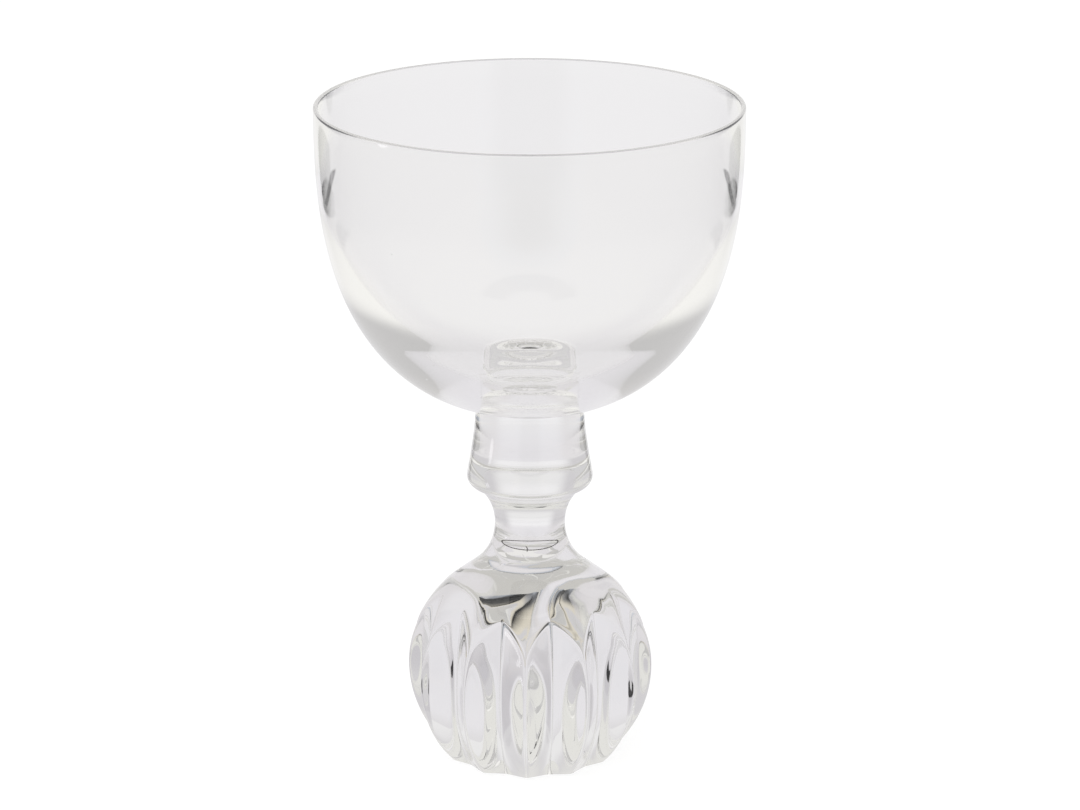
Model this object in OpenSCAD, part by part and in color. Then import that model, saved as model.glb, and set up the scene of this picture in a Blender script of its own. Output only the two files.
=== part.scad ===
// Clear glass water goblet: a thick-based bowl on a solid knop, neck and fluted ball foot.
// The four pieces are fused face to face, one above the other.
// The origin is the centre of the flat underside of the foot, and +Z is up.

/* [Bowl] */
// Outer diameter at the rim
rim_d = 100; // [84:1:116]
// Height of the bowl above its joint with the knop
bowl_h = 72.2; // [62:0.2:84]
// Thickness of the glass at the rim
rim_wall = 1.2; // [0.8:0.1:2]
// Thickness of the solid glass under the middle of the cavity
base_thick = 3.35; // [2.5:0.05:6]
// Squareness of the outer flank, where 2 is an ellipse
flank_power = 2.72; // [2.4:0.02:3]
// Flatness of the underside, where 2 is an ellipse
underside_power = 2.29; // [2.1:0.01:2.5]
// Radius of the cavity's round floor, as a share of the mouth's radius
cavity_floor_share = 0.91; // [0.8:0.01:0.96]
// Radius of the bend from the cavity's flank to its side, as a share of the mouth's radius
cavity_bend_share = 1.07; // [1:0.01:1.12]
// Slope of the cavity's flank, as a share of its depth over the mouth's radius
cavity_slope_share = 1; // [0.94:0.01:1.04]
// Angle by which the cavity's side leans in below the rim
cavity_lean = 2.6; // [1.6:0.1:3]

/* [Knop] */
// Height of the knop
knop_h = 20.3; // [15:0.1:26]
// Largest diameter, just above the lower edge
knop_d = 30.2; // [27:0.1:33]
// Diameter of the joint with the bowl
knop_top_d = 25.6; // [22:0.1:27]
// How far the rounded lower edge stands out over the neck
knop_edge_w = 2.1; // [1:0.1:3]
// Height of the rounded lower edge
knop_edge_h = 2.5; // [1:0.1:4]
// How fast the taper fades upwards, where 1 is a straight cone
knop_taper_power = 1.6; // [1:0.1:2.4]

/* [Neck] */
// Height of the neck
neck_h = 15.5; // [13:0.1:18]
// Diameter at the waist
waist_d = 16.8; // [14:0.1:19]
// Height of the waist above the joint with the foot
waist_rise = 5.8; // [4:0.1:7.5]

/* [Ball foot] */
// Diameter of the ball over the ridges
ball_d = 59.7; // [54:0.1:64]
// Height of the ball's middle above the flat underside
ball_z = 21.1; // [18:0.1:24]
// Height of the joint with the neck above the ball's full round
joint_rise = 1.05; // [0:0.05:6]
// Radius of the ball's shoulder, as a share of the ball's radius
shoulder_share = 0.9; // [0.8:0.01:0.98]
// Radius of the flare under the waist, as a share of the largest that fits
flare_share = 0.92; // [0.8:0.01:0.98]

/* [Flutes] */
// Number of V-shaped flutes round the ball
flute_count = 12; // [8:1:20]
// Angle of the first flute, from the front towards the right
flute_turn = 12.7; // [0:0.1:30]
// Depth of a flute where it is deepest
flute_depth = 6.1; // [3:0.1:6.5]
// Depth of a flute at the underside
flute_base_depth = 1.9; // [1:0.1:3]
// Height of the deepest place, as a share of the height of the ball's middle
flute_belly_share = 0.85; // [0.7:0.01:1]
// Height of the pointed tips, as a share of the shoulder's height
flute_tip_share = 0.9; // [0.8:0.01:0.96]
// Height where the arches spring from the ridges, as a share of the shoulder's height
arch_foot_share = 0.47; // [0.3:0.01:0.6]
// Angle by which the ridge lines lean in above there
arch_lean = 11; // [6:1:14]
// How much the ridges are eased below the round of the ball
ridge_ease = 0.05; // [0.03:0.01:0.15]

/* [Hidden] */
$fn = 120;
overrun = 1;
curve_steps = 36;
bend_steps = 18;
lip_steps = 8;
flute_steps = 26;
glass_colour = [0.86, 0.89, 0.88, 0.5];

rim_r = rim_d / 2;
mouth_r = rim_r - rim_wall;
bowl_side_top = bowl_h - rim_wall / 2;
joint_r = knop_top_d / 2;
waist_r = waist_d / 2;
knop_r = knop_d / 2;
neck_top_r = knop_r - knop_edge_w;
ball_r = ball_d / 2;

foot_h = ball_z + ball_r + joint_rise;
neck_z = foot_h;
waist_z = neck_z + waist_rise;
knop_z = neck_z + neck_h;
bowl_z = knop_z + knop_h;

// The shoulder arc starts level with the ball's middle, and the flare arc ends at the waist.
// One straight line touches both.
shoulder_r = shoulder_share * ball_r;
shoulder_x = ball_r - shoulder_r;
flare_rise = waist_z - ball_z;
waist_inset = waist_r - shoulder_x;
flare_limit_r = (pow(waist_inset, 2) + pow(flare_rise, 2) - pow(shoulder_r, 2))
    / (2 * (shoulder_r - waist_inset));
flare_r = flare_share * flare_limit_r;
flare_x = waist_r + flare_r;
slope_a = atan2(flare_rise, flare_x - shoulder_x)
    - acos((shoulder_r + flare_r) / norm([flare_x - shoulder_x, flare_rise]));
seat_a = asin(waist_rise / flare_r);
seat_r = flare_x - flare_r * cos(seat_a);

shoulder_h = shoulder_r * sin(slope_a);
flute_tip_z = ball_z + flute_tip_share * shoulder_h;
arch_foot_z = ball_z + arch_foot_share * shoulder_h;
flute_belly_z = flute_belly_share * ball_z;
flute_belly_r = ball_r - flute_depth;
flute_base_r = ball_round(0) - flute_base_depth;
flute_tip_r = ball_round(flute_tip_z);

// Radius of the neck's upper flare, which leaves the waist upright and ends at the knop.
collar_rise = neck_h - waist_rise;
collar_reach = neck_top_r - waist_r;
collar_r = (pow(collar_rise, 2) + pow(collar_reach, 2)) / (2 * collar_reach);

// Radius of the ball's round at height z, with no flutes.
function ball_round(z) =
    z < ball_z
        ? sqrt(pow(ball_r, 2) - pow(ball_z - z, 2))
        : shoulder_x + sqrt(pow(shoulder_r, 2) - pow(z - ball_z, 2));

// Radius of the bottom line of a flute at height z.
function valley_r(z) =
    z < flute_belly_z
        ? flute_belly_r - (flute_belly_r - flute_base_r) * pow(1 - z / flute_belly_z, 2)
        : flute_belly_r - (flute_belly_r - flute_tip_r)
            * pow((z - flute_belly_z) / (flute_tip_z - flute_belly_z), 2);

// Radius of the ridge between two flutes at height z.
function ridge_r(z) =
    ball_round(min(z, arch_foot_z)) - ridge_ease - max(0, z - arch_foot_z) * tan(arch_lean);

// Points of an arc in the plane of a profile, from angle a to angle b.
function arc(centre, r, a, b, steps) = [
    for (i = [0 : steps]) centre + r * [cos(a + (b - a) * i / steps), sin(a + (b - a) * i / steps)]
];

// The flare under the waist, from angle a to angle b below the waist, with the waist at height z.
function flare_arc(z, a, b) = arc([flare_x, z], flare_r, 180 + a, 180 + b, bend_steps);

// The bowl's outer curve, from the joint up to the rim.
function bowl_outer() =
    let (
        joint_a = acos(pow(joint_r / rim_r, underside_power / 2)),
        depth = bowl_side_top / pow(sin(joint_a), 2 / flank_power)
    )
    [
        for (i = [curve_steps : -1 : 0])
            let (a = joint_a * i / curve_steps)
            [rim_r * pow(cos(a), 2 / underside_power), bowl_side_top - depth * pow(sin(a), 2 / flank_power)]
    ];

// The cavity's curve, from the middle of its floor up to the rim: a floor arc, a straight flank,
// a bend and a side that leans in.
function bowl_cavity() =
    let (
        flank_a = atan(cavity_slope_share * (bowl_side_top - base_thick) / mouth_r),
        floor_r = cavity_floor_share * mouth_r,
        bend_r = cavity_bend_share * mouth_r,
        floor_end = [floor_r * sin(flank_a), base_thick + floor_r * (1 - cos(flank_a))],
        side_x = mouth_r - bowl_side_top * tan(cavity_lean),
        corner_z = (side_x - floor_end.x + floor_end.y / tan(flank_a))
            / (1 / tan(flank_a) - tan(cavity_lean)),
        corner = [side_x + corner_z * tan(cavity_lean), corner_z],
        reach = bend_r * tan((90 - cavity_lean - flank_a) / 2),
        bend_start = corner - reach * [cos(flank_a), sin(flank_a)],
        bend_centre = bend_start + bend_r * [-sin(flank_a), cos(flank_a)]
    )
    concat(
        arc([0, base_thick + floor_r], floor_r, -90, flank_a - 90, bend_steps),
        arc(bend_centre, bend_r, flank_a - 90, -cavity_lean, bend_steps)
    );

function reversed(points) = [for (i = [len(points) - 1 : -1 : 0]) points[i]];

// A solid of revolution from a closed outline of [radius, height] points.
module turned(outline) {
    rotate_extrude()
        polygon(outline);
}

// A column with a V-shaped flute between each two ridges. It is wider than the ball above the arches.
module fluted_column() {
    corners = 2 * flute_count;
    heights = concat(
        [for (i = [0 : flute_steps]) -overrun + (flute_tip_z + 2 * overrun) * i / flute_steps],
        [foot_h + overrun]
    );
    points = [
        for (z = heights, j = [0 : corners - 1])
            let (r = j % 2 == 0 ? valley_r(z) : ridge_r(z), a = flute_turn - 90 + 180 * j / flute_count)
            [r * cos(a), r * sin(a), z]
    ];
    sides = [
        for (i = [0 : len(heights) - 2], j = [0 : corners - 1])
            let (
                low = i * corners + j,
                low_next = i * corners + (j + 1) % corners,
                high = low + corners,
                high_next = low_next + corners
            )
            each (j % 2 == 0
                ? [[low, high, high_next], [low, high_next, low_next]]
                : [[low, high, low_next], [low_next, high, high_next]])
    ];
    bottom = [for (j = [0 : corners - 1]) j];
    top = [for (j = [corners - 1 : -1 : 0]) (len(heights) - 1) * corners + j];
    polyhedron(points, concat(sides, [bottom, top]));
}

// The blank is wider than the ridges below the arches, so the fluted column alone shapes it there.
module ball_foot() {
    arch_foot_r = ball_round(arch_foot_z);
    arch_foot_a = acos((arch_foot_r - shoulder_x) / shoulder_r);
    color(glass_colour)
        intersection() {
            turned(concat(
                [[0, 0], [ball_r + overrun, 0], [ball_r + overrun, arch_foot_z]],
                arc([shoulder_x, ball_z], shoulder_r, arch_foot_a, slope_a, bend_steps),
                flare_arc(waist_z, slope_a, seat_a),
                [[0, foot_h]]
            ));
            fluted_column();
        }
}

module neck() {
    collar_a = atan2(collar_rise, collar_r - collar_reach);
    color(glass_colour)
        translate([0, 0, neck_z])
            turned(concat(
                [[0, 0]],
                flare_arc(waist_rise, seat_a, 0),
                arc([waist_r + collar_r, waist_rise], collar_r, 180, 180 - collar_a, bend_steps),
                [[0, neck_h]]
            ));
}

module knop() {
    color(glass_colour)
        translate([0, 0, knop_z])
            turned(concat(
                [[0, 0]],
                [
                    for (i = [0 : lip_steps])
                        let (a = 90 * i / lip_steps)
                        [neck_top_r + knop_edge_w * sin(a), knop_edge_h * (1 - cos(a))]
                ],
                [
                    for (i = [1 : bend_steps])
                        let (s = i / bend_steps)
                        [
                            joint_r + (knop_r - joint_r) * pow(1 - s, knop_taper_power),
                            knop_edge_h + (knop_h - knop_edge_h) * s
                        ]
                ],
                [[0, knop_h]]
            ));
}

module bowl() {
    color(glass_colour)
        translate([0, 0, bowl_z])
            turned(concat(
                [[0, 0]],
                bowl_outer(),
                arc([rim_r - rim_wall / 2, bowl_side_top], rim_wall / 2, 180 / lip_steps, 180, lip_steps),
                reversed(bowl_cavity())
            ));
}

ball_foot();
neck();
knop();
bowl();
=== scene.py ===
"""Clear glass water goblet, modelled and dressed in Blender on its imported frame.

The goblet is four pieces of solid glass that are fused face to face: a bowl, a knop, a neck and a
fluted ball foot. Lengths are in metres, and the names that end in _mm or _MM are in millimetres.
"""
import logging
import math
from dataclasses import dataclass, field
from enum import Enum
from functools import partial

import bpy
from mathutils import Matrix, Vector


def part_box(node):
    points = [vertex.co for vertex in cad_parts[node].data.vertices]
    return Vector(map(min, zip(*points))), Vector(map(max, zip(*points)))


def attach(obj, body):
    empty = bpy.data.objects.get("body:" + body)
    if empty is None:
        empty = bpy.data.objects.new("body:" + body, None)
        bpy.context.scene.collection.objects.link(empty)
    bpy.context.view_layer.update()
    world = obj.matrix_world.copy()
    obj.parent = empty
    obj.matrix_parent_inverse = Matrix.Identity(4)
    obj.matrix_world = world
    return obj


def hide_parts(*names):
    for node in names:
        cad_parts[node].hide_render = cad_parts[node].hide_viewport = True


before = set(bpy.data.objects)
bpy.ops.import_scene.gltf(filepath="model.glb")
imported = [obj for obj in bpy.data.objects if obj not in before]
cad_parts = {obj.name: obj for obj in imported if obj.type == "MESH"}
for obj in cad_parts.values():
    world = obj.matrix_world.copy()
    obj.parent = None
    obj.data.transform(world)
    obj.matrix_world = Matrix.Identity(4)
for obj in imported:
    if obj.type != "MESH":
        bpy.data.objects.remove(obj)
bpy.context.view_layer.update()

MM = 0.001
TINY = 1e-6
LEVEL_NORMAL = 0.999
LIP_HEIGHT_MM = 0.3
LIP_PAINTED_SHADE_TINT = "#CECECE"  # painted shade: greyer than the bowl, so the top of the lip draws the thin dark line along the rim

log = logging.getLogger("goblet")

Outline = list[tuple[float, float]]


class Optics(Enum):
    """Material slots of a glass piece."""

    SURFACE = 0
    FUSED = 1
    # the top of the lip, in greyer glass: painted shade for the dark line along the rim
    LIP = 2


def mm(value: float) -> float:
    """Millimetres as metres."""
    return value * MM


def linear(hex_colour: str) -> tuple[float, float, float, float]:
    """Turns an sRGB hex colour into a linear colour.

    Args:
        hex_colour: The colour as "#RRGGBB".

    Returns:
        Red, green, blue and an alpha of 1, linear.
    """
    channels = [int(hex_colour[i : i + 2], 16) / 255 for i in (1, 3, 5)]
    return (*[c / 12.92 if c <= 0.04045 else ((c + 0.055) / 1.055) ** 2.4 for c in channels], 1.0)


def add_node(
    tree: bpy.types.NodeTree,
    kind: str,
    settings: dict[str, object] | None = None,
    values: dict[str | int, object] | None = None,
    links: dict[str | int, bpy.types.NodeSocket] | None = None,
) -> bpy.types.Node:
    """Adds a shader node with its settings, its plain values and its links.

    Args:
        tree: The node tree that it goes into.
        kind: The node's type name.
        settings: Attributes of the node.
        values: Input sockets and their values.
        links: Input sockets and the output sockets that feed them.

    Returns:
        The new node.
    """
    node = tree.nodes.new(kind)
    for name, value in (settings or {}).items():
        setattr(node, name, value)
    for name, value in (values or {}).items():
        node.inputs[name].default_value = value
    for name, source in (links or {}).items():
        tree.links.new(source, node.inputs[name])
    return node


def empty_material(name: str) -> tuple[bpy.types.Material, bpy.types.NodeTree]:
    """Makes a material with an empty node tree.

    Args:
        name: The material's name.

    Returns:
        The material and its node tree.
    """
    material = bpy.data.materials.new(name)
    material.use_nodes = True
    material.node_tree.nodes.clear()
    return material, material.node_tree


@dataclass(frozen=True)
class SpentLight:
    """Light that has met nearly as many faces as the renderer follows.

    It ends in a painted glow: the glass emits pale grey there, because the renderer would drop it and leave
    a black line in the glass.
    """

    painted_glow: str = "#D2D1D2"
    clear_faces: float = 6.5
    bends: float = 10.5

    def finish(self, tree: bpy.types.NodeTree, shader: bpy.types.NodeSocket) -> None:
        """Links a glass shader to the material's output, with the painted pale grey glow for spent light.

        The grey is the first in the mix, so that the export still reads a clear face as clear.

        Args:
            tree: The material's node tree.
            shader: The glass's own shader.
        """
        path = add_node(tree, "ShaderNodeLightPath")
        live = [
            add_node(
                tree, "ShaderNodeMath",
                settings={"operation": "LESS_THAN"},
                values={1: most},
                links={0: path.outputs[count]},
            )
            for count, most in (("Transparent Depth", self.clear_faces), ("Ray Depth", self.bends))
        ]
        both = add_node(
            tree, "ShaderNodeMath",
            settings={"operation": "MULTIPLY"},
            links={0: live[0].outputs["Value"], 1: live[1].outputs["Value"]},
        )
        # painted glow: spent light ends in a pale grey emission from the glass
        painted_glow = add_node(tree, "ShaderNodeEmission", values={"Color": linear(self.painted_glow), "Strength": 1.0})
        mixed = add_node(
            tree, "ShaderNodeMixShader",
            links={0: both.outputs["Value"], 1: painted_glow.outputs["Emission"], 2: shader},
        )
        add_node(tree, "ShaderNodeOutputMaterial", links={"Surface": mixed.outputs["Shader"]})


@dataclass(frozen=True)
class SodaLimeGlass:
    """Clear soda-lime glass, worked hot by hand and fire-polished.

    It gives the eye sharp bending at every edge, slow waves in what shows through it, and a few
    pin-point seeds, drawn larger than real ones so that they show. Light that has been thrown back
    as often as the renderer follows leaves the wall straight, so the wall doesn't end in black.
    """

    name: str = "soda_lime_glass"
    tint: str = "#FEFEFD"
    ior: float = 1.52
    roughness: float = 0.012
    wave_spacing_mm: float = 16.0
    wave_height_mm: float = 0.012
    seed_spacing_mm: float = 11.0
    seed_radius_mm: float = 0.35
    seed_depth_mm: float = 0.06
    most_reflections: int = 4

    def material(self) -> bpy.types.Material:
        """Makes the glass.

        Returns:
            The material, with its waves and seeds as bump on the object's own coordinates.
        """
        material, tree = empty_material(self.name)
        place = add_node(tree, "ShaderNodeTexCoord")
        waves = add_node(
            tree, "ShaderNodeTexNoise",
            values={"Scale": 1 / mm(self.wave_spacing_mm), "Detail": 1.0},
            links={"Vector": place.outputs["Object"]},
        )
        seeds = add_node(
            tree, "ShaderNodeTexVoronoi",
            values={"Scale": 1 / mm(self.seed_spacing_mm)},
            links={"Vector": place.outputs["Object"]},
        )
        dimples = add_node(
            tree, "ShaderNodeMapRange",
            settings={"interpolation_type": "SMOOTHSTEP"},
            values={
                "From Min": 0.0,
                "From Max": self.seed_radius_mm / self.seed_spacing_mm,
                "To Min": -self.seed_depth_mm,
                "To Max": 0.0,
            },
            links={"Value": seeds.outputs["Distance"]},
        )
        height = add_node(
            tree, "ShaderNodeMath",
            settings={"operation": "MULTIPLY_ADD"},
            values={1: self.wave_height_mm},
            links={0: waves.outputs["Fac"], 2: dimples.outputs["Result"]},
        )
        bump = add_node(
            tree, "ShaderNodeBump",
            values={"Strength": 1.0, "Distance": mm(1)},
            links={"Height": height.outputs["Value"]},
        )
        glass = add_node(
            tree, "ShaderNodeBsdfPrincipled",
            values={
                "Base Color": linear(self.tint),
                "Roughness": self.roughness,
                "IOR": self.ior,
                "Transmission Weight": 1.0,
            },
            links={"Normal": bump.outputs["Normal"]},
        )
        path = add_node(tree, "ShaderNodeLightPath")
        worn_out = add_node(
            tree, "ShaderNodeMath",
            settings={"operation": "GREATER_THAN"},
            values={1: self.most_reflections - 0.5},
            links={0: path.outputs["Glossy Depth"]},
        )
        straight = add_node(tree, "ShaderNodeBsdfTransparent")
        surface = add_node(
            tree, "ShaderNodeMixShader",
            links={0: worn_out.outputs["Value"], 1: glass.outputs["BSDF"], 2: straight.outputs["BSDF"]},
        )
        # painted glow: spent light ends in a pale grey emission
        SpentLight().finish(tree, surface.outputs["Shader"])
        return material


@dataclass(frozen=True)
class TrappedScale:
    """Dark scale and air that two gathers caught between them where they were joined.

    It gives the eye a thin, dull, dark line deep in clear glass.
    """

    dark: str = "#2E2B29"
    pale: str = "#6E6963"
    grain_mm: float = 0.8
    roughness: float = 0.6

    def material(self) -> bpy.types.Material:
        """Makes the scale.

        Returns:
            The material, a little uneven along the line.
        """
        material, tree = empty_material("trapped_weld_scale")
        place = add_node(tree, "ShaderNodeTexCoord")
        grain = add_node(
            tree, "ShaderNodeTexNoise",
            values={"Scale": 1 / mm(self.grain_mm), "Detail": 2.0},
            links={"Vector": place.outputs["Object"]},
        )
        shade = add_node(
            tree, "ShaderNodeMix",
            settings={"data_type": "RGBA"},
            values={6: linear(self.dark), 7: linear(self.pale)},
            links={0: grain.outputs["Fac"]},
        )
        dull = add_node(
            tree, "ShaderNodeBsdfPrincipled",
            values={"Roughness": self.roughness},
            links={"Base Color": shade.outputs[2]},
        )
        add_node(tree, "ShaderNodeOutputMaterial", links={"Surface": dull.outputs["BSDF"]})
        return material


@dataclass(frozen=True)
class FusedFace:
    """The face where two pieces are fused.

    The glass runs through, so it gives the eye nothing: light isn't bent there.
    """

    def material(self) -> bpy.types.Material:
        """Makes the fused face.

        Returns:
            The material.
        """
        material, tree = empty_material("fused_glass_joint")
        clear = add_node(tree, "ShaderNodeBsdfTransparent")
        # painted glow: spent light also ends here in the pale grey emission
        SpentLight().finish(tree, clear.outputs["BSDF"])
        return material


def nothing_selected() -> None:
    """Leaves edit mode and deselects every object."""
    if bpy.context.object and bpy.context.object.mode != "OBJECT":
        bpy.ops.object.mode_set(mode="OBJECT")
    bpy.ops.object.select_all(action="DESELECT")


def arc(centre: tuple[float, float], radius: float, start: float, end: float, steps: int) -> Outline:
    """Points of an arc in the plane of an outline.

    Args:
        centre: Its centre, as radius and height.
        radius: Its radius.
        start: First angle, in radians, from outwards towards up.
        end: Last angle, in radians.
        steps: Number of steps between them.

    Returns:
        The points, both ends included.
    """
    angles = [start + (end - start) * i / steps for i in range(steps + 1)]
    return [(centre[0] + radius * math.cos(a), centre[1] + radius * math.sin(a)) for a in angles]


@dataclass
class GlassPiece:
    """One piece of the goblet, which stands for the CAD node of the same name."""

    node: str
    fused_heights: tuple[float, ...] = ()
    lip_height: float = math.inf
    smooth_below: float = math.radians(35)
    low: Vector = field(init=False)
    high: Vector = field(init=False)

    def __post_init__(self) -> None:
        """Reads the node's box from the frame."""
        self.low, self.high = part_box(self.node)

    def shape(self) -> bpy.types.Object:
        """Makes the piece's mesh, in each kind of piece in its own way."""
        raise NotImplementedError

    def dress(self, piece: bpy.types.Object, finishes: dict[Optics, bpy.types.Material]) -> None:
        """Gives the piece its glass, its fused faces their own finish, and the top of its lip a greyer glass
        as painted shade for the dark line along the rim.

        Args:
            piece: The piece.
            finishes: The material of each kind of face.
        """
        used = [kind for kind in finishes if kind is not Optics.LIP or self.lip_height < math.inf]
        for kind in used:
            piece.data.materials.append(finishes[kind])
        for face in piece.data.polygons:
            flat = abs(face.normal.z) > LEVEL_NORMAL
            level = any(abs(face.center.z - z) < TINY for z in self.fused_heights)
            kind = Optics.FUSED if flat and level else Optics.SURFACE
            if face.center.z > self.lip_height:
                kind = Optics.LIP
            face.material_index = kind.value

    def build(self, finishes: dict[Optics, bpy.types.Material]) -> bpy.types.Object:
        """Makes, dresses and places the piece.

        Args:
            finishes: The material of each kind of face.

        Returns:
            The finished piece.
        """
        nothing_selected()
        piece = self.shape()
        nothing_selected()
        piece.name = piece.data.name = f"{self.node}_glass"
        piece.select_set(True)
        bpy.context.view_layer.objects.active = piece
        bpy.ops.object.shade_smooth_by_angle(angle=self.smooth_below)
        self.dress(piece, finishes)
        nothing_selected()
        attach(piece, "root")
        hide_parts(self.node)
        log.info("%s: %d faces", piece.name, len(piece.data.polygons))
        return piece


@dataclass
class TurnedPiece(GlassPiece):
    """A piece turned about the goblet's axis."""

    turns: int = 256

    def outline(self) -> Outline:
        """The piece's outline, from the axis below round to the axis above, as each piece has it."""
        raise NotImplementedError

    def shape(self) -> bpy.types.Object:
        """Draws the outline point by point and spins it about +Z.

        Returns:
            The turned piece, closed, with its faces outwards.
        """
        points = self.outline()
        bpy.ops.mesh.primitive_plane_add(size=mm(1))
        piece = bpy.context.object
        bpy.ops.object.mode_set(mode="EDIT")
        bpy.ops.mesh.select_mode(type="VERT")
        bpy.ops.mesh.merge(type="CENTER")
        bpy.ops.transform.translate(value=(points[0][0], 0, points[0][1]))
        for (r0, z0), (r1, z1) in zip(points, points[1:]):
            bpy.ops.mesh.extrude_region_move(TRANSFORM_OT_translate={"value": (r1 - r0, 0, z1 - z0)})
        bpy.ops.mesh.select_all(action="SELECT")
        bpy.ops.mesh.spin(steps=self.turns, angle=2 * math.pi, center=(0, 0, 0), axis=(0, 0, 1))
        bpy.ops.mesh.select_all(action="SELECT")
        bpy.ops.mesh.remove_doubles(threshold=TINY)
        bpy.ops.mesh.normals_make_consistent(inside=False)
        bpy.ops.object.mode_set(mode="OBJECT")
        return piece


@dataclass
class Bowl(TurnedPiece):
    """The blown bowl, with its thick base and rounded lip."""

    joint_r: float = mm(12.8)
    rim_wall: float = mm(1.2)
    base_thick: float = mm(3.35)
    flank_power: float = 2.72
    underside_power: float = 2.29
    floor_share: float = 0.91
    bend_share: float = 1.07
    slope_share: float = 1.0
    lean: float = math.radians(2.6)
    steps: int = 64
    lip_steps: int = 12

    def outer(self, rim_r: float, side_top: float) -> Outline:
        """The outer curve, from the joint up to the lip.

        Args:
            rim_r: Outer radius at the rim.
            side_top: Height above the joint at which the lip starts.

        Returns:
            Its points, with heights above the joint.
        """
        joint_a = math.acos((self.joint_r / rim_r) ** (self.underside_power / 2))
        depth = side_top / math.sin(joint_a) ** (2 / self.flank_power)
        angles = [joint_a * i / self.steps for i in range(self.steps, -1, -1)]
        return [
            (
                rim_r * math.cos(a) ** (2 / self.underside_power),
                side_top - depth * math.sin(a) ** (2 / self.flank_power),
            )
            for a in angles
        ]

    def cavity(self, mouth_r: float, side_top: float) -> Outline:
        """The cavity: a floor arc, a straight flank, a bend and a side that leans in.

        Args:
            mouth_r: Inner radius at the rim.
            side_top: Height above the joint at which the lip starts.

        Returns:
            Its points from the middle of the floor up to the lip, with heights above the joint.
        """
        flank = math.atan(self.slope_share * (side_top - self.base_thick) / mouth_r)
        floor_r = self.floor_share * mouth_r
        bend_r = self.bend_share * mouth_r
        end_x = floor_r * math.sin(flank)
        end_z = self.base_thick + floor_r * (1 - math.cos(flank))
        side_x = mouth_r - side_top * math.tan(self.lean)
        corner_z = (side_x - end_x + end_z / math.tan(flank)) / (1 / math.tan(flank) - math.tan(self.lean))
        corner_x = side_x + corner_z * math.tan(self.lean)
        reach = bend_r * math.tan((math.pi / 2 - self.lean - flank) / 2)
        centre = (
            corner_x - reach * math.cos(flank) - bend_r * math.sin(flank),
            corner_z - reach * math.sin(flank) + bend_r * math.cos(flank),
        )
        turn = flank - math.pi / 2
        floor = arc((0, self.base_thick + floor_r), floor_r, -math.pi / 2, turn, self.steps // 2)
        bend = arc(centre, bend_r, turn, -self.lean, self.steps // 2)
        return floor + bend

    def outline(self) -> Outline:
        """Joins the outer curve, the lip and the cavity.

        Returns:
            The bowl's outline, from the joint over the lip to the cavity's floor.
        """
        rim_r = self.high.x
        side_top = self.high.z - self.low.z - self.rim_wall / 2
        lip_r = self.rim_wall / 2
        lip = arc((rim_r - lip_r, side_top), lip_r, math.pi / self.lip_steps, math.pi, self.lip_steps)
        cavity = self.cavity(rim_r - self.rim_wall, side_top)
        points = [(0.0, 0.0)] + self.outer(rim_r, side_top) + lip + cavity[::-1]
        return [(r, self.low.z + z) for r, z in points]


@dataclass
class Knop(TurnedPiece):
    """The solid collar under the bowl."""

    top_r: float = mm(12.8)
    edge_w: float = mm(2.1)
    edge_h: float = mm(2.5)
    edge_ease: float = mm(0.22)
    taper_power: float = 1.6
    steps: int = 64
    edge_steps: int = 16

    def radius(self, z: float) -> float:
        """The smaller of the rounded edge and the taper, eased where they meet.

        Args:
            z: Height above the underside.

        Returns:
            The radius there.
        """
        wide_r = self.high.x
        height = self.high.z - self.low.z
        below = max(0.0, 1 - z / self.edge_h)
        edge = wide_r - self.edge_w * (1 - math.sqrt(1 - below**2))
        left = (height - z) / (height - self.edge_h)
        taper = self.top_r + (wide_r - self.top_r) * left**self.taper_power
        ease = self.edge_ease * min(1.0, z / self.edge_h)
        return (edge + taper - math.hypot(edge - taper, ease)) / 2

    def outline(self) -> Outline:
        """Steps up the knop, closely where its edge is round.

        Returns:
            A level underside, a rounded edge and a taper that fades upwards.
        """
        height = self.high.z - self.low.z
        angles = [math.pi / 2 * i / self.edge_steps for i in range(self.edge_steps + 1)]
        heights = [self.edge_h * (1 - math.cos(angle)) for angle in angles]
        heights += [self.edge_h + (height - self.edge_h) * i / self.steps for i in range(1, self.steps + 1)]
        side = [(self.radius(z), z) for z in heights]
        return [(r, self.low.z + z) for r, z in [(0.0, 0.0)] + side + [(0.0, height)]]


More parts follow.
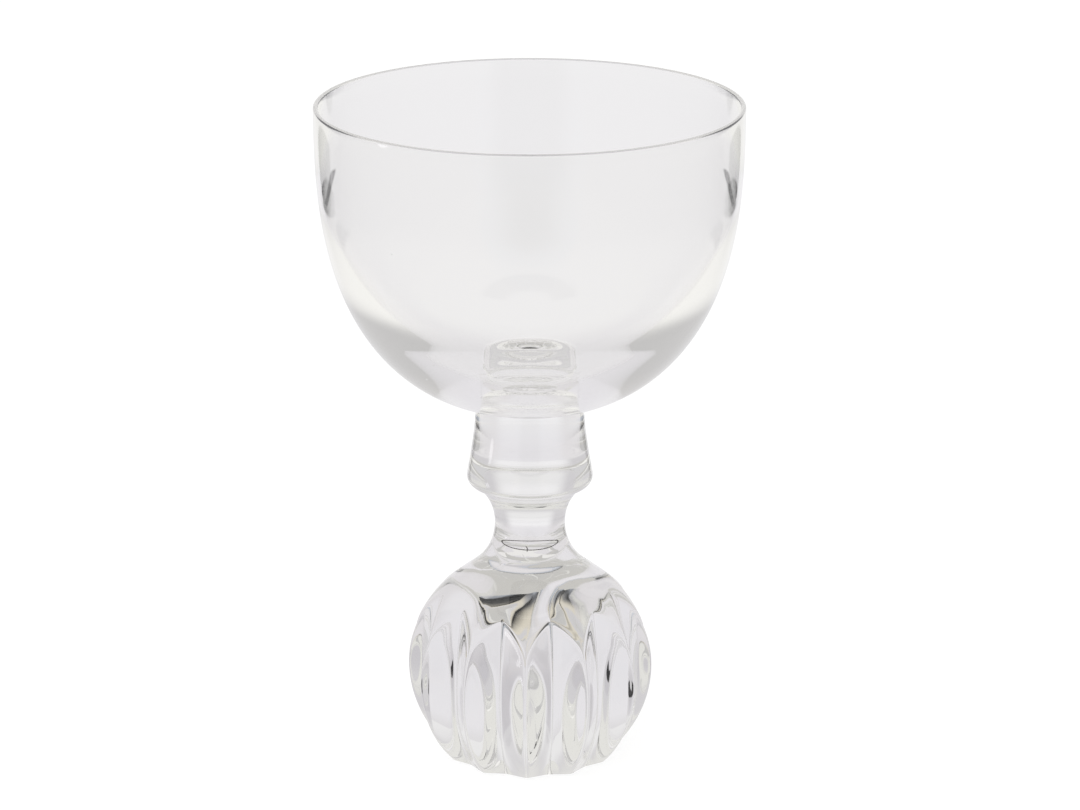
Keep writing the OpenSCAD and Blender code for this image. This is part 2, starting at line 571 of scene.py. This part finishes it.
@dataclass
class FlareCurve:
    """The ball's shoulder and the flare that rises from it to the neck's waist."""

    ball_r: float = mm(29.85)
    ball_z: float = mm(21.1)
    shoulder_share: float = 0.9
    flare_share: float = 0.92
    waist_r: float = mm(8.4)
    waist_z: float = mm(57.8)

    def __post_init__(self) -> None:
        """Works out the arcs and the angle of the straight line that touches both."""
        self.shoulder_r = self.shoulder_share * self.ball_r
        self.shoulder_x = self.ball_r - self.shoulder_r
        rise = self.waist_z - self.ball_z
        inset = self.waist_r - self.shoulder_x
        limit = (inset**2 + rise**2 - self.shoulder_r**2) / (2 * (self.shoulder_r - inset))
        self.flare_r = self.flare_share * limit
        self.flare_x = self.waist_r + self.flare_r
        span = math.hypot(self.flare_x - self.shoulder_x, rise)
        self.slope = math.atan2(rise, self.flare_x - self.shoulder_x) - math.acos(
            (self.shoulder_r + self.flare_r) / span
        )

    def flare(self, start_z: float, end_z: float, steps: int) -> Outline:
        """The flare between two heights that lie under the waist.

        Args:
            start_z: Lower height.
            end_z: Upper height.
            steps: Number of steps.

        Returns:
            Its points, upwards.
        """
        start, end = [math.asin((self.waist_z - z) / self.flare_r) for z in (start_z, end_z)]
        return arc((self.flare_x, self.waist_z), self.flare_r, math.pi + start, math.pi + end, steps)

    def radius(self, z: float) -> float:
        """The ball's round, its straight slope and its flare as one radius.

        Args:
            z: Height above the underside.

        Returns:
            The radius there, with no flutes.
        """
        if z < self.ball_z:
            return math.sqrt(self.ball_r**2 - (self.ball_z - z) ** 2)
        shoulder_end = self.ball_z + self.shoulder_r * math.sin(self.slope)
        if z < shoulder_end:
            return self.shoulder_x + math.sqrt(self.shoulder_r**2 - (z - self.ball_z) ** 2)
        flare_start = self.waist_z - self.flare_r * math.sin(self.slope)
        if z < flare_start:
            end_r = self.shoulder_x + self.shoulder_r * math.cos(self.slope)
            return end_r - (z - shoulder_end) * math.tan(self.slope)
        return self.flare_x - math.sqrt(self.flare_r**2 - (self.waist_z - z) ** 2)


@dataclass
class Neck(TurnedPiece):
    """The short solid waist between the ball and the knop."""

    top_r: float = mm(13.0)
    curve: FlareCurve = field(default_factory=FlareCurve)
    steps: int = 28

    def outline(self) -> Outline:
        """Joins the ball's flare to the collar's own.

        Returns:
            The end of the flare below the waist and the collar flare above it.
        """
        curve = self.curve
        rise = self.high.z - curve.waist_z
        reach = self.top_r - curve.waist_r
        collar_r = (rise**2 + reach**2) / (2 * reach)
        turn = math.atan2(rise, collar_r - reach)
        lower = curve.flare(self.low.z, curve.waist_z, self.steps)
        upper = arc((curve.waist_r + collar_r, curve.waist_z), collar_r, math.pi, math.pi - turn, self.steps)
        return [(0.0, self.low.z)] + lower + upper[1:] + [(0.0, self.high.z)]


@dataclass
class BallFoot(GlassPiece):
    """The solid ball with its pointed V-shaped flutes and flat underside."""

    curve: FlareCurve = field(default_factory=FlareCurve)
    flutes: int = 12
    first_flute: float = math.radians(12.7 - 90)
    depth: float = mm(6.1)
    base_depth: float = mm(1.9)
    belly_share: float = 0.85
    tip_share: float = 0.9
    arch_share: float = 0.47
    arch_lean: float = math.radians(11)
    edge_round: float = mm(0.38)
    arch_round: float = mm(0.50)
    arch_ease: float = mm(8)
    flat_steps: int = 14
    below_steps: int = 70
    above_steps: int = 56
    column_crowding: float = 0.86
    row_crowding: float = 1.8
    halvings: int = 40

    def __post_init__(self) -> None:
        """Works out the flutes' places on the ball."""
        super().__post_init__()
        curve = self.curve
        shoulder_h = curve.shoulder_r * math.sin(curve.slope)
        self.tip_z = curve.ball_z + self.tip_share * shoulder_h
        self.arch_z = curve.ball_z + self.arch_share * shoulder_h
        self.belly_z = self.belly_share * curve.ball_z
        self.belly_r = curve.ball_r - self.depth
        self.base_r = curve.radius(0) - self.base_depth
        self.tip_r = curve.radius(self.tip_z)

    def valley(self, z: float) -> float:
        """Radius of a flute's bottom line at height z."""
        if z < self.belly_z:
            return self.belly_r - (self.belly_r - self.base_r) * (1 - z / self.belly_z) ** 2
        share = (z - self.belly_z) / (self.tip_z - self.belly_z)
        return self.belly_r - (self.belly_r - self.tip_r) * share**2

    def ridge(self, z: float) -> float:
        """Radius of the ridge between two flutes at height z."""
        return self.curve.radius(min(z, self.arch_z)) - max(0.0, z - self.arch_z) * math.tan(self.arch_lean)

    def fluted(self, turn: float, z: float) -> float:
        """Radius of the fluted column, with its ridges and valleys rounded.

        Args:
            turn: Angle from the nearest flute's bottom line, up to half a flute.
            z: Height above the underside.

        Returns:
            The radius there.
        """
        half = math.pi / self.flutes
        valley, ridge = self.valley(z), self.ridge(z)
        ridge_x, ridge_y = ridge * math.cos(half), ridge * math.sin(half)
        slope = (ridge_x - valley) / ridge_y
        radius = valley / (math.cos(turn) - slope * math.sin(turn))
        from_valley = radius * math.sin(turn)
        from_ridge = radius * math.sin(half - turn)
        tip_slope = math.tan(half + math.atan(slope))
        radius += slope * (math.hypot(from_valley, self.edge_round) - from_valley)
        radius -= tip_slope * (math.hypot(from_ridge, self.edge_round) - from_ridge)
        return radius

    def radius(self, turn: float, z: float) -> float:
        """Radius of the ball, which is the smaller of its round and its flutes, with a rounded edge.

        Args:
            turn: Angle from the nearest flute's bottom line, up to half a flute.
            z: Height above the underside.

        Returns:
            The radius there.
        """
        plain, fluted = self.curve.radius(z), self.fluted(turn, z)
        share = min(1.0, max(0.0, (z - self.arch_z) / self.arch_ease + 1))
        return (plain + fluted - math.hypot(plain - fluted, self.arch_round * share)) / 2

    def edge_height(self, turn: float) -> float:
        """Finds by halving where the round of the shoulder meets a flute.

        Args:
            turn: Angle from the flute's bottom line.

        Returns:
            The height of the flute's edge.
        """
        low, high = self.arch_z - mm(1), self.tip_z + mm(3)
        for _ in range(self.halvings):
            middle = (low + high) / 2
            if self.curve.radius(middle) > self.fluted(turn, middle):
                low = middle
            else:
                high = middle
        return low

    def turns(self) -> list[float]:
        """Spaces the mesh's columns over half a flute, close at both ends.

        Returns:
            Their angles, from the flute's bottom line to the ridge.
        """
        half = math.pi / self.flutes
        shares = [i / self.flat_steps for i in range(self.flat_steps + 1)]
        crowding = self.column_crowding
        return [half * (s - math.sin(2 * math.pi * s) / (2 * math.pi) * crowding) for s in shares]

    def columns(self) -> list[list[tuple[float, float, float]]]:
        """Lays the mesh's columns round the ball.

        Returns:
            The columns, each as its points from the underside up to the neck.
        """
        quarter = self.turns()
        step = 2 * math.pi / self.flutes
        whole = quarter[:-1] + [step - t for t in quarter[:0:-1]]
        columns = []
        for flute in range(self.flutes):
            for angle in whole:
                turn = min(angle, step - angle)
                edge = self.edge_height(turn)
                below = [edge * self.eased(i / self.below_steps, False) for i in range(self.below_steps)]
                above = [
                    edge + (self.high.z - edge) * self.eased(i / self.above_steps, True)
                    for i in range(self.above_steps + 1)
                ]
                around = self.first_flute + flute * step + angle
                column = []
                for z in below + above:
                    r = self.radius(turn, z)
                    column.append((r * math.cos(around), r * math.sin(around), z))
                columns.append(column)
        return columns

    def eased(self, share: float, near_start: bool) -> float:
        """Crowds steps towards one end of a run.

        Args:
            share: Even share along the run.
            near_start: Whether they crowd at the start, or otherwise at the end.

        Returns:
            The crowded share.
        """
        if near_start:
            return share**self.row_crowding
        return 1 - (1 - share) ** self.row_crowding

    def shape(self) -> bpy.types.Object:
        """Lays a grid round the ball, line by line along the flutes' own edges, and closes its ends.

        No operator draws lines that follow the flutes' arches, so the grid's corners are placed by rule.

        Returns:
            The ball, closed, with its faces outwards.
        """
        columns = self.columns()
        rows = len(columns[0])
        bpy.ops.mesh.primitive_grid_add(x_subdivisions=len(columns), y_subdivisions=rows - 1, size=1)
        piece = bpy.context.object
        mesh = piece.data
        across = len(columns) + 1
        places = []
        for row in range(rows):
            for i in range(across):
                places.extend(columns[i % len(columns)][row])
        mesh.vertices.foreach_set("co", places)
        mesh.update()
        bpy.ops.object.mode_set(mode="EDIT")
        bpy.ops.mesh.select_all(action="SELECT")
        bpy.ops.mesh.remove_doubles(threshold=TINY)
        bpy.ops.mesh.select_all(action="DESELECT")
        bpy.ops.mesh.select_mode(type="EDGE")
        bpy.ops.mesh.select_non_manifold()
        bpy.ops.mesh.edge_face_add()
        bpy.ops.mesh.select_all(action="SELECT")
        bpy.ops.mesh.normals_make_consistent(inside=False)
        bpy.ops.object.mode_set(mode="OBJECT")
        return piece


@dataclass
class WeldMark:
    """The thin dark ring and the small tick that were caught where the neck was set on the ball."""

    height: float
    ring_r: float = mm(4.4)
    line_r: float = mm(0.11)
    tick: tuple[tuple[float, float, float], ...] = (
        (mm(-0.75), mm(-3.6), mm(0.75)),
        (mm(-0.35), mm(-3.5), mm(0.1)),
        (mm(-0.55), mm(-3.4), mm(-0.75)),
    )
    tick_r: float = mm(0.09)
    ring_steps: int = 128
    line_steps: int = 10
    smooth_below: float = math.radians(60)

    def build(self, scale: bpy.types.Material) -> bpy.types.Object:
        """Makes the ring and its tick as one piece.

        Args:
            scale: The material of the trapped scale.

        Returns:
            The finished piece.
        """
        nothing_selected()
        bpy.ops.mesh.primitive_torus_add(
            location=(0, 0, self.height),
            major_radius=self.ring_r,
            minor_radius=self.line_r,
            major_segments=self.ring_steps,
            minor_segments=self.line_steps,
        )
        ring = bpy.context.object
        bpy.ops.object.transform_apply(location=True, rotation=True, scale=True)
        thread = bpy.data.curves.new("weld_tick", "CURVE")
        thread.dimensions = "3D"
        thread.bevel_depth = self.tick_r
        thread.use_fill_caps = True
        spline = thread.splines.new("NURBS")
        spline.points.add(len(self.tick) - 1)
        for point, place in zip(spline.points, self.tick):
            point.co = (place[0], place[1], place[2] + self.height, 1.0)
        spline.use_endpoint_u = True
        spline.order_u = 3
        tick = bpy.data.objects.new("weld_tick", thread)
        bpy.context.collection.objects.link(tick)
        nothing_selected()
        tick.select_set(True)
        bpy.context.view_layer.objects.active = tick
        bpy.ops.object.convert(target="MESH")
        ring.select_set(True)
        bpy.context.view_layer.objects.active = ring
        bpy.ops.object.join()
        bpy.ops.object.shade_smooth_by_angle(angle=self.smooth_below)
        ring.name = ring.data.name = "weld_mark"
        ring.data.materials.append(scale)
        nothing_selected()
        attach(ring, "root")
        log.info("%s: %d faces", ring.name, len(ring.data.polygons))
        return ring


@dataclass(frozen=True)
class PhotoCamera:
    """The camera that was fitted to the rim's and the foot's ellipses.

    It stands in front of the goblet, looks a little down, and is turned until the goblet's axis is
    as far left of the middle as in the photograph.
    """

    distance: float = 0.8028
    height: float = 0.3445
    pitch: float = math.radians(17.79)
    focal_px: float = 3556.0
    axis_px: float = 529.3
    image_width_px: int = 1080
    sensor_mm: float = 36.0

    def place(self) -> bpy.types.Object:
        """Makes the camera and sets it as the scene's camera.

        Returns:
            The camera.
        """
        yaw = math.atan((self.image_width_px / 2 - self.axis_px) / self.focal_px)
        bpy.ops.object.camera_add(
            location=(0, -self.distance, self.height),
            rotation=(math.pi / 2 - self.pitch, 0, -yaw),
        )
        camera = bpy.context.object
        camera.name = "photo_camera"
        camera.data.sensor_width = self.sensor_mm
        camera.data.lens = self.focal_px * self.sensor_mm / self.image_width_px
        bpy.context.scene.camera = camera
        return camera


@dataclass(frozen=True)
class SoftShape:
    """A soft-edged oval in the room, in parts of a direction of length 1.

    Its middle lies at side and level, and it reaches half_width to each side, and above and below
    its level. It is gone at outer times those sizes and whole at inner times them.
    """

    side: float
    level: float
    half_width: float
    above: float
    below: float
    outer: float
    inner: float


@dataclass(frozen=True)
class StudioRoom:
    """What the glass sees round it: a pale sweep behind, a pale table below, a softbox above, dimmer
    sides, a window to the left, the dark gap that the camera looks out of, and black flags.

    The gap's edges are soft and carry a faint warm and cool fringe, as cut glass shows in them. It is
    there for light that is thrown back once or twice inside the solid pieces, and so are the strips
    of ceiling and floor next to it. The wide flags are there for light thrown back once, and the near
    ones for what looks straight through both walls of the bowl, which sees the sweep on every side.
    Light that is thrown back too often to follow has shades of its own. Only the outer surface
    mirrors the window. The camera itself sees plain white.

    The fades and shapes are in parts of a direction of length 1, and each fade gives its start and end.
    """

    white: str = "#FFFFFF"
    sweep: str = "#F2F1F3"
    sides: str = "#D0CED1"
    sweep_top: str = "#EAE9EA"
    table: str = "#ECEAEB"
    softbox: str = "#E3E2DE"
    lost_low: str = "#F6F5F1"
    lost_level: str = "#C1C0BF"
    lost_high: str = "#C6C4C0"
    dark: str = "#1E1E20"
    lost_dark: str = "#6A6A6C"
    flag: str = "#1A1A1C"
    gap_warm: str = "#DCD5C6"
    gap_cool: str = "#CCD1DA"
    gap: SoftShape = SoftShape(0.0, -0.05, 0.45, 0.2, 0.5, 1.05, 0.5)
    far_gap: SoftShape = SoftShape(0.0, -0.03, 0.5, 0.28, 0.28, 1.15, 0.35)
    gap_in_base: SoftShape = SoftShape(0.0, -0.86, 0.3, 0.08, 0.08, 1.05, 0.5)
    ceiling: SoftShape = SoftShape(0.0, 0.935, 0.6, 0.05, 0.05, 1.1, 0.7)
    wide_flags: SoftShape = SoftShape(0.6, -0.252, 0.14, 0.05, 0.06, 1.1, 0.85)
    near_flags: SoftShape = SoftShape(0.225, -0.245, 0.035, 0.03, 0.02, 1.1, 0.7)
    lost_flags: SoftShape = SoftShape(0.35, -0.6, 0.17, 0.11, 0.11, 1.1, 0.7)
    window: SoftShape = SoftShape(-0.13, -0.12, 0.08, 0.04, 0.04, 1.1, 0.8)
    window_glow: float = 4.0
    sweep_aside: tuple[float, float] = (0.82, 0.95)
    sweep_end: tuple[float, float] = (0.34, 0.09)
    sweep_rise: tuple[float, float] = (-0.16, -0.04)
    table_edge: tuple[float, float] = (-0.25, -0.5)
    softbox_edge: tuple[float, float] = (0.2, 0.5)
    lost_level_edge: tuple[float, float] = (-0.27, 0.03)
    lost_high_edge: tuple[float, float] = (0.35, 0.75)
    fringe_width: float = 0.14
    warm_edge: tuple[float, float] = (-0.06, 0.12)
    cool_edge: tuple[float, float] = (0.06, -0.12)
    one_wall: float = 3.5
    most_reflections: float = 3.5

    @staticmethod
    def fade(
        tree: bpy.types.NodeTree, value: bpy.types.NodeSocket, start: float, end: float
    ) -> bpy.types.NodeSocket:
        """Fades smoothly along a value.

        Args:
            tree: The world's node tree.
            value: The value.
            start: Where the fade starts.
            end: Where it ends, which may lie below its start.

        Returns:
            0 at the start and 1 at the end.
        """
        node = add_node(
            tree, "ShaderNodeMapRange",
            settings={"interpolation_type": "SMOOTHSTEP"},
            values={"From Min": start, "From Max": end},
            links={"Value": value},
        )
        return node.outputs["Result"]

    @staticmethod
    def maths(
        tree: bpy.types.NodeTree, operation: str, *terms: bpy.types.NodeSocket | float
    ) -> bpy.types.NodeSocket:
        """Joins values or numbers with one arithmetic operation.

        Args:
            tree: The world's node tree.
            operation: The operation's name.
            terms: Its sockets and numbers, in order.

        Returns:
            The result.
        """
        numbers = {i: term for i, term in enumerate(terms) if isinstance(term, (int, float))}
        sockets = {i: term for i, term in enumerate(terms) if not isinstance(term, (int, float))}
        kind = {"operation": operation}
        return add_node(tree, "ShaderNodeMath", kind, numbers, sockets).outputs["Value"]

    @classmethod
    def reach(
        cls,
        tree: bpy.types.NodeTree,
        across: bpy.types.NodeSocket,
        z: bpy.types.NodeSocket,
        shape: SoftShape,
    ) -> bpy.types.NodeSocket:
        """How far out in a shape a direction lies.

        Args:
            tree: The world's node tree.
            across: The direction's part to the side.
            z: The direction's part upwards.
            shape: The shape.

        Returns:
            0 at its middle and 1 at the ends of its half sizes.
        """
        from_middle = cls.maths(tree, "SUBTRACT", z, shape.level)
        up = cls.maths(
            tree, "MAXIMUM",
            cls.maths(tree, "DIVIDE", from_middle, shape.above),
            cls.maths(tree, "DIVIDE", from_middle, -shape.below),
        )
        side = cls.maths(tree, "DIVIDE", cls.maths(tree, "SUBTRACT", across, shape.side), shape.half_width)
        squares = [cls.maths(tree, "MULTIPLY", step, step) for step in (side, up)]
        return cls.maths(tree, "SQRT", cls.maths(tree, "ADD", *squares))

    @classmethod
    def shape_share(
        cls,
        tree: bpy.types.NodeTree,
        across: bpy.types.NodeSocket,
        z: bpy.types.NodeSocket,
        shape: SoftShape,
    ) -> bpy.types.NodeSocket:
        """How much of a shape shows in a direction, from 0 to 1, with the arguments of reach."""
        return cls.fade(tree, cls.reach(tree, across, z, shape), shape.outer, shape.inner)

    @staticmethod
    def plain(tree: bpy.types.NodeTree, colour: str) -> bpy.types.NodeSocket:
        """One colour as a socket."""
        node = add_node(tree, "ShaderNodeRGB")
        node.outputs[0].default_value = linear(colour)
        return node.outputs[0]

    @staticmethod
    def over(
        tree: bpy.types.NodeTree,
        under: bpy.types.NodeSocket,
        colour: str | bpy.types.NodeSocket,
        share: bpy.types.NodeSocket,
    ) -> bpy.types.NodeSocket:
        """Lays a colour over another by a share.

        Args:
            tree: The world's node tree.
            under: The colour below.
            colour: The colour laid over it, or the socket that gives it.
            share: How much of it shows, from 0 to 1.

        Returns:
            The mixed colour.
        """
        written = isinstance(colour, str)
        node = add_node(
            tree, "ShaderNodeMix",
            settings={"data_type": "RGBA"},
            values={7: linear(colour)} if written else {},
            links={0: share, 6: under} if written else {0: share, 6: under, 7: colour},
        )
        return node.outputs[2]

    def light(self) -> bpy.types.World:
        """Makes the room and sets it as the scene's world.

        Returns:
            The world.
        """
        world = bpy.data.worlds.new("studio_room")
        world.use_nodes = True
        tree = world.node_tree
        tree.nodes.clear()
        place = add_node(tree, "ShaderNodeTexCoord")
        way = add_node(tree, "ShaderNodeSeparateXYZ", links={"Vector": place.outputs["Generated"]})
        x, y, z = way.outputs["X"], way.outputs["Y"], way.outputs["Z"]
        path = add_node(tree, "ShaderNodeLightPath")
        maths, fade, over = (partial(tool, tree) for tool in (self.maths, self.fade, self.over))
        plain, reach, shown = (partial(tool, tree) for tool in (self.plain, self.reach, self.shape_share))

        # Directions
        level = maths("SQRT", maths("SUBTRACT", 1.0, maths("MULTIPLY", z, z)))
        ahead = maths("DIVIDE", y, level)
        aside = maths("DIVIDE", maths("ABSOLUTE", x), level)
        behind = maths("MULTIPLY", fade(ahead, *self.sweep_aside), fade(z, *self.sweep_end))
        to_camera = maths("LESS_THAN", y, 0.0)
        to_sweep = maths("GREATER_THAN", y, 0.0)

        # Kinds of light, by how often it was thrown back and how many faces it went through
        thrown_back = path.outputs["Glossy Depth"]
        through = path.outputs["Transmission Depth"]
        outside = maths("LESS_THAN", through, self.one_wall)
        once = maths("COMPARE", thrown_back, 1.0, 0.5)
        once_outside = maths("MULTIPLY", once, outside)
        once_in_base = maths("SUBTRACT", once, once_outside)
        twice = maths("MULTIPLY", maths("COMPARE", thrown_back, 2.0, 0.5), outside)
        lost = maths("GREATER_THAN", thrown_back, self.most_reflections)
        never = maths("LESS_THAN", thrown_back, 0.5)
        both_walls = maths("MULTIPLY", maths("GREATER_THAN", through, self.one_wall), never)
        mirrored = maths("MULTIPLY", once, maths("LESS_THAN", through, 0.5))

        # The room's pale surfaces
        colour = plain(self.sides)
        colour = over(colour, self.table, fade(z, *self.table_edge))
        colour = over(colour, self.softbox, fade(z, *self.softbox_edge))
        sweep = over(plain(self.sweep), self.sweep_top, fade(z, *self.sweep_rise))
        colour = over(colour, sweep, behind)

        # What lost light sees
        shades = plain(self.lost_low)
        shades = over(shades, self.lost_level, fade(z, *self.lost_level_edge))
        shades = over(shades, self.lost_high, fade(z, *self.lost_high_edge))
        lost_edge = shown(aside, z, self.lost_flags)
        shades = over(shades, self.lost_dark, maths("MULTIPLY", lost_edge, to_sweep))
        colour = over(colour, shades, lost)

        # The dark gap and its fringe
        for shape, kind in ((self.gap, once_outside), (self.far_gap, twice)):
            seen = maths("MULTIPLY", to_camera, kind)
            away = reach(x, z, shape)
            near_edge = fade(away, shape.outer + self.fringe_width, shape.outer)
            fringe = maths("MULTIPLY", near_edge, seen)
            from_middle = maths("SUBTRACT", z, shape.level)
            warm = maths("MULTIPLY", fringe, fade(from_middle, *self.warm_edge))
            cool = maths("MULTIPLY", fringe, fade(from_middle, *self.cool_edge))
            colour = over(colour, self.gap_warm, warm)
            colour = over(colour, self.gap_cool, cool)
            hole = maths("MULTIPLY", fade(away, shape.outer, shape.inner), seen)
            colour = over(colour, self.dark, hole)

        # Dark strips and flags
        for across, shape, side, kind in (
            (x, self.ceiling, to_camera, twice),
            (x, self.ceiling, to_camera, once_outside),
            (x, self.gap_in_base, to_camera, once_in_base),
            (aside, self.wide_flags, to_sweep, once_outside),
        ):
            seen = maths("MULTIPLY", side, kind)
            share = maths("MULTIPLY", shown(across, z, shape), seen)
            colour = over(colour, self.flag, share)
        near = shown(aside, z, self.near_flags)
        straight = over(plain(self.sweep), self.flag, near)
        colour = over(colour, straight, both_walls)
        colour = over(colour, self.white, path.outputs["Is Camera Ray"])

        # The window
        left = maths("MULTIPLY", mirrored, maths("LESS_THAN", x, 0.0))
        window = maths("MULTIPLY", left, shown(ahead, z, self.window))
        strength = maths("MULTIPLY_ADD", window, self.window_glow, 1.0)
        light = add_node(tree, "ShaderNodeBackground", links={"Color": colour, "Strength": strength})
        add_node(tree, "ShaderNodeOutputWorld", links={"Surface": light.outputs["Background"]})
        bpy.context.scene.world = world
        return world


@dataclass(frozen=True)
class PaleFloor:
    """The pale floor that the goblet stands on, just under its flat underside.

    The camera sees it white with a soft shadow. The glass looks past it at the room, through the
    goblet's own shade on the paper, which falls behind the foot.
    """

    half: float = 2.0
    drop: float = mm(0.2)
    paper: str = "#FFFFFF"
    glow: float = 0.88
    shade_share: float = 0.2
    foot_shade: str = "#F3F2F4"
    shade_middle: float = mm(80)
    shade_start: float = mm(60)
    shade_end: float = mm(130)

    def material(self) -> bpy.types.Material:
        """Makes the floor's white paper.

        Returns:
            The material, which glows for the camera and keeps a share of real shade.
        """
        material, tree = empty_material("white_sweep_paper")
        path = add_node(tree, "ShaderNodeLightPath")
        glow = add_node(
            tree, "ShaderNodeEmission", values={"Color": linear(self.paper), "Strength": self.glow}
        )
        shade = add_node(
            tree, "ShaderNodeBsdfDiffuse", values={"Color": (self.shade_share,) * 3 + (1.0,)}
        )
        seen = add_node(
            tree, "ShaderNodeAddShader", links={0: glow.outputs["Emission"], 1: shade.outputs["BSDF"]}
        )
        place = add_node(tree, "ShaderNodeTexCoord")
        away = add_node(
            tree, "ShaderNodeVectorMath",
            settings={"operation": "DISTANCE"},
            values={1: (0.0, self.shade_middle, 0.0)},
            links={0: place.outputs["Object"]},
        )
        share = add_node(
            tree, "ShaderNodeMapRange",
            settings={"interpolation_type": "SMOOTHSTEP"},
            values={"From Min": self.shade_start, "From Max": self.shade_end},
            links={"Value": away.outputs["Value"]},
        )
        shaded = add_node(
            tree, "ShaderNodeMix",
            settings={"data_type": "RGBA"},
            values={6: linear(self.foot_shade), 7: linear(self.paper)},
            links={0: share.outputs["Result"]},
        )
        past = add_node(tree, "ShaderNodeBsdfTransparent", links={"Color": shaded.outputs[2]})
        surface = add_node(
            tree, "ShaderNodeMixShader",
            links={0: path.outputs["Is Camera Ray"], 1: past.outputs["BSDF"], 2: seen.outputs["Shader"]},
        )
        add_node(tree, "ShaderNodeOutputMaterial", links={"Surface": surface.outputs["Shader"]})
        return material

    def lay(self) -> bpy.types.Object:
        """Makes the floor.

        Returns:
            The floor.
        """
        bpy.ops.mesh.primitive_plane_add(size=2 * self.half, location=(0, 0, -self.drop))
        floor = bpy.context.object
        floor.name = "studio_floor"
        floor.data.materials.append(self.material())
        return floor


@dataclass(frozen=True)
class Softbox:
    """A large soft lamp over the goblet, a little in front of it."""

    place: tuple[float, float, float] = (-0.35, -0.35, 1.3)
    aim: tuple[float, float, float] = (0.0, 0.0, 0.08)
    width: float = 0.9
    power: float = 6.0

    def hang(self) -> bpy.types.Object:
        """Makes the lamp and points it at the goblet's middle.

        Returns:
            The lamp.
        """
        towards = Vector(self.aim) - Vector(self.place)
        bpy.ops.object.light_add(
            type="AREA", location=self.place, rotation=towards.to_track_quat("-Z", "Y").to_euler()
        )
        lamp = bpy.context.object
        lamp.name = "softbox"
        lamp.data.shape = "SQUARE"
        lamp.data.size = self.width
        lamp.data.energy = self.power
        lamp.visible_glossy = False
        lamp.visible_transmission = False
        return lamp


def main() -> None:
    """Builds the goblet's pieces, then the studio round it."""
    logging.basicConfig(level=logging.INFO, format="%(message)s")
    # painted shade: greyer glass on the top of the lip draws the dark line along the rim
    lip = SodaLimeGlass(name="lip_painted_dark_line", tint=LIP_PAINTED_SHADE_TINT)
    finishes = {
        Optics.SURFACE: SodaLimeGlass().material(),
        Optics.FUSED: FusedFace().material(),
        Optics.LIP: lip.material(),
    }
    foot = BallFoot("ball_foot", fused_heights=(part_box("ball_foot")[1].z,))
    neck = Neck("neck", fused_heights=(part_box("neck")[0].z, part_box("neck")[1].z))
    knop = Knop("knop", fused_heights=(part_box("knop")[0].z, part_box("knop")[1].z))
    low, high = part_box("bowl")
    bowl = Bowl("bowl", fused_heights=(low.z,), lip_height=high.z - mm(LIP_HEIGHT_MM))
    for piece in (foot, neck, knop, bowl):
        piece.build(finishes)
    WeldMark(height=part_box("neck")[0].z).build(TrappedScale().material())
    StudioRoom().light()
    PaleFloor().lay()
    Softbox().hang()
    PhotoCamera().place()
    bpy.context.scene.view_settings.view_transform = "Standard"


if __name__ == "__main__":
    main()
